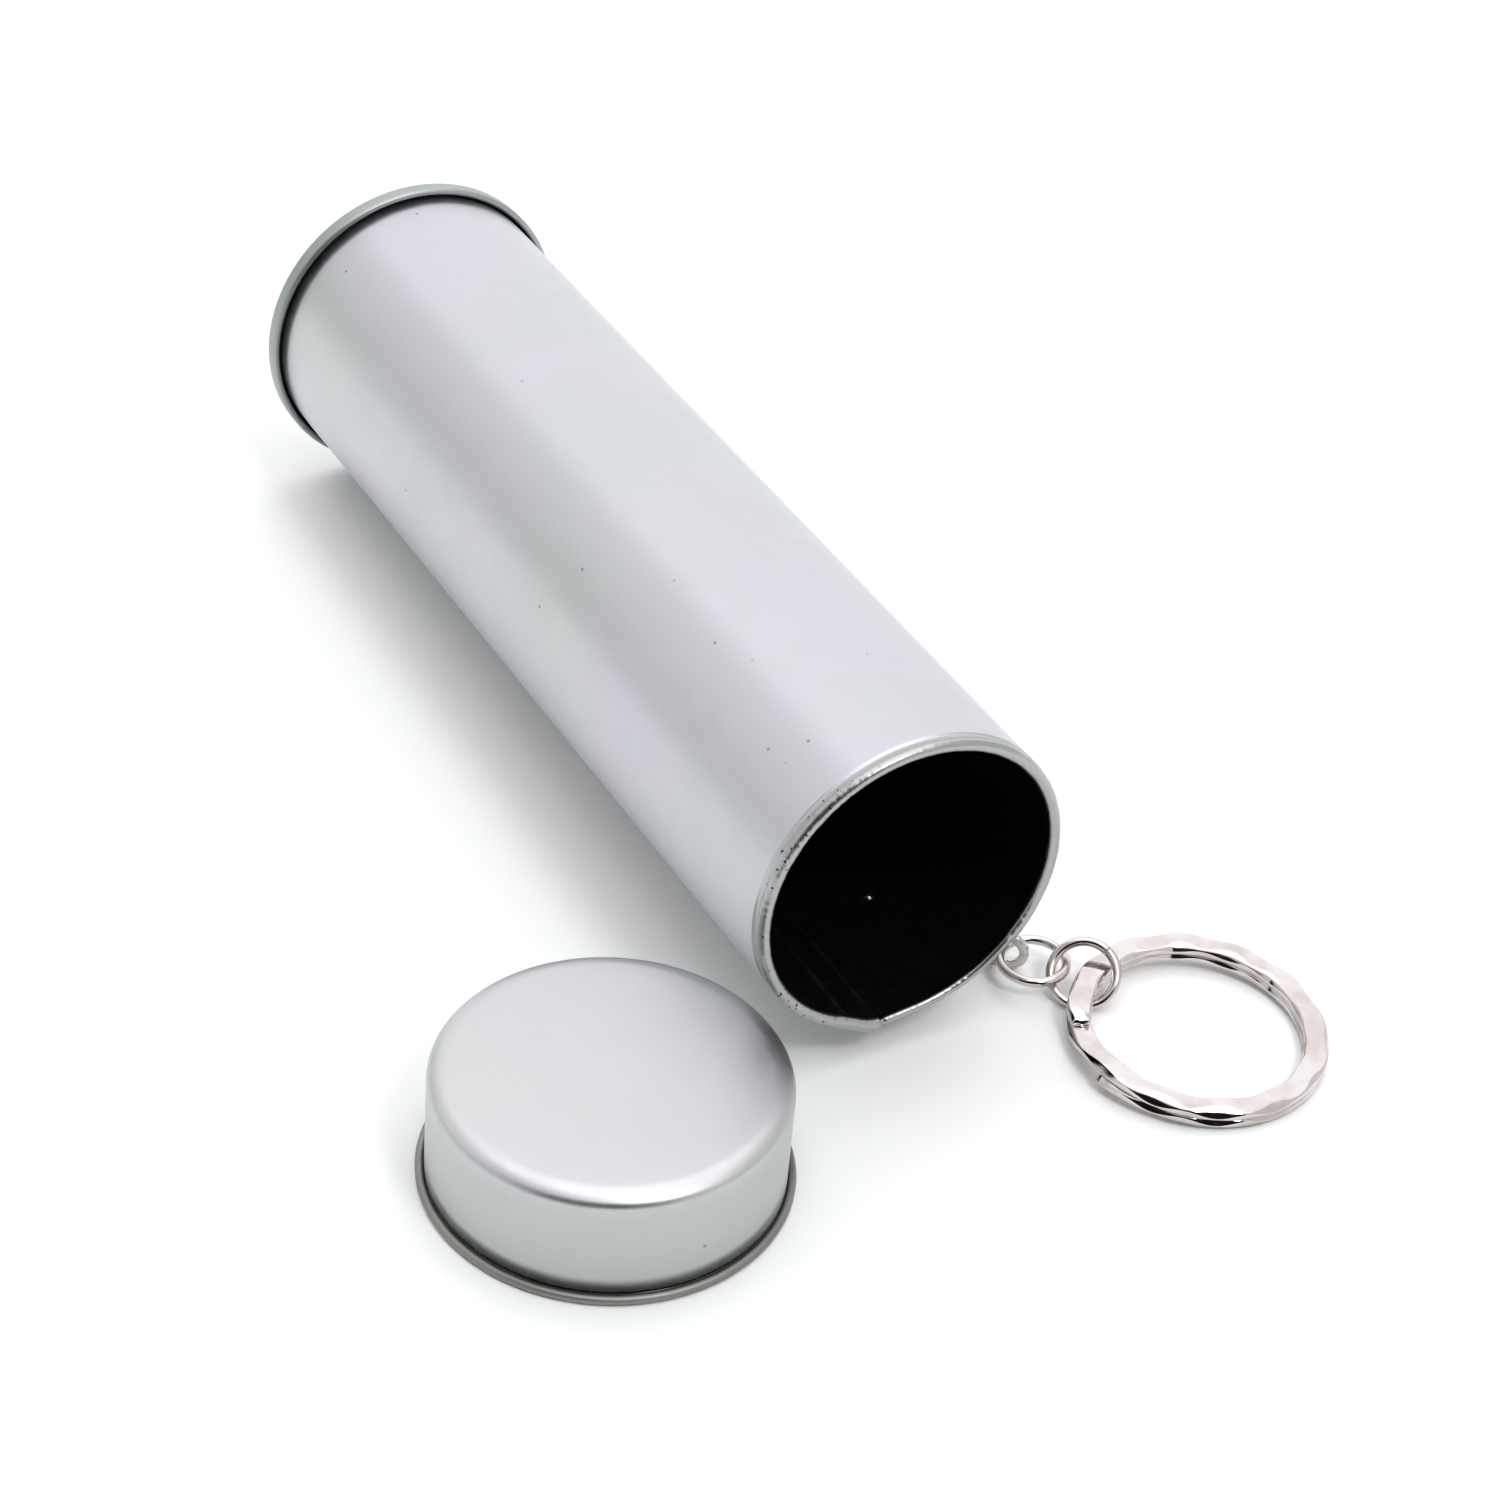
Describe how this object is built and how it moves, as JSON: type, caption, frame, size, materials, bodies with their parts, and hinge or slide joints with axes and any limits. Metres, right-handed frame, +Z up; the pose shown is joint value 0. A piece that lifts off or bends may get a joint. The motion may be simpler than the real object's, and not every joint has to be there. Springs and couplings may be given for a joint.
{
  "type": "slip-lid tin tube",
  "caption": "Slip-lid tin tube with a key ring: a thin round can with a rolled mouth, a seamed end and a push-on lid, and a split ring chained to a strap riveted to its side.",
  "frame": {"origin": "on the surface that the part lies on, under the middle of the whole part's box", "axes": "+X along the tube towards its open mouth, +Z up from the surface, the key ring on the +Y side and the lid on the -Y side"},
  "size_m": [0.1356, 0.0892, 0.0355],
  "materials": {
    "tube_tinplate": "satin drawn tinplate outside, black lacquer inside",
    "end_tinplate": "satin tinplate, rolled rim",
    "lid_tinplate": "satin tinplate",
    "rivet_steel": "plated steel, bright",
    "hanger_steel": "nickel-plated steel strap",
    "ring_nickel": "nickel-plated steel wire, polished",
    "key_ring_nickel": "nickel-plated flat spring wire, polished"
  },
  "bodies": {
    "tube": {"tube_body": "tube_tinplate", "bottom_end": "end_tinplate", "rivet": "rivet_steel"},
    "hanger": {"hanger": "hanger_steel"},
    "flat_ring": {"flat_ring": "ring_nickel"},
    "jump_ring": {"jump_ring": "ring_nickel"},
    "split_ring": {"split_ring": "key_ring_nickel"},
    "lid": {"lid": "lid_tinplate"}
  },
  "joints": [
    {"name": "hanger_swivel", "type": "hinge", "parent": "tube", "child": "hanger", "pos_m": [0.02768, 0.01069, 0.00418], "axis": [-0.0208, -0.3584, 0.9333], "range_deg": [0, 60]},
    {"name": "flat_ring_lift", "type": "hinge", "parent": "hanger", "child": "flat_ring", "pos_m": [0.03854, 0.02095, 0.0021], "axis": [0.6868, -0.7268, 0], "range_deg": [0, 35]},
    {"name": "jump_ring_swing", "type": "hinge", "parent": "flat_ring", "child": "jump_ring", "pos_m": [0.0436, 0.02432, 0.0024], "axis": [0.6766, -0.7363, 0], "range_deg": [0, 30]},
    {"name": "key_ring_lift", "type": "hinge", "parent": "jump_ring", "child": "split_ring", "pos_m": [0.04558, 0.02596, 0.00214], "axis": [0.2166, -0.9763, 0], "range_deg": [0, 40]},
    {"name": "lid_tip", "type": "hinge", "parent": "tube", "child": "lid", "pos_m": [0.06522, -0.02725, 0.0005], "axis": [0, 1, 0], "range_deg": [0, 88.72]}
  ]
}
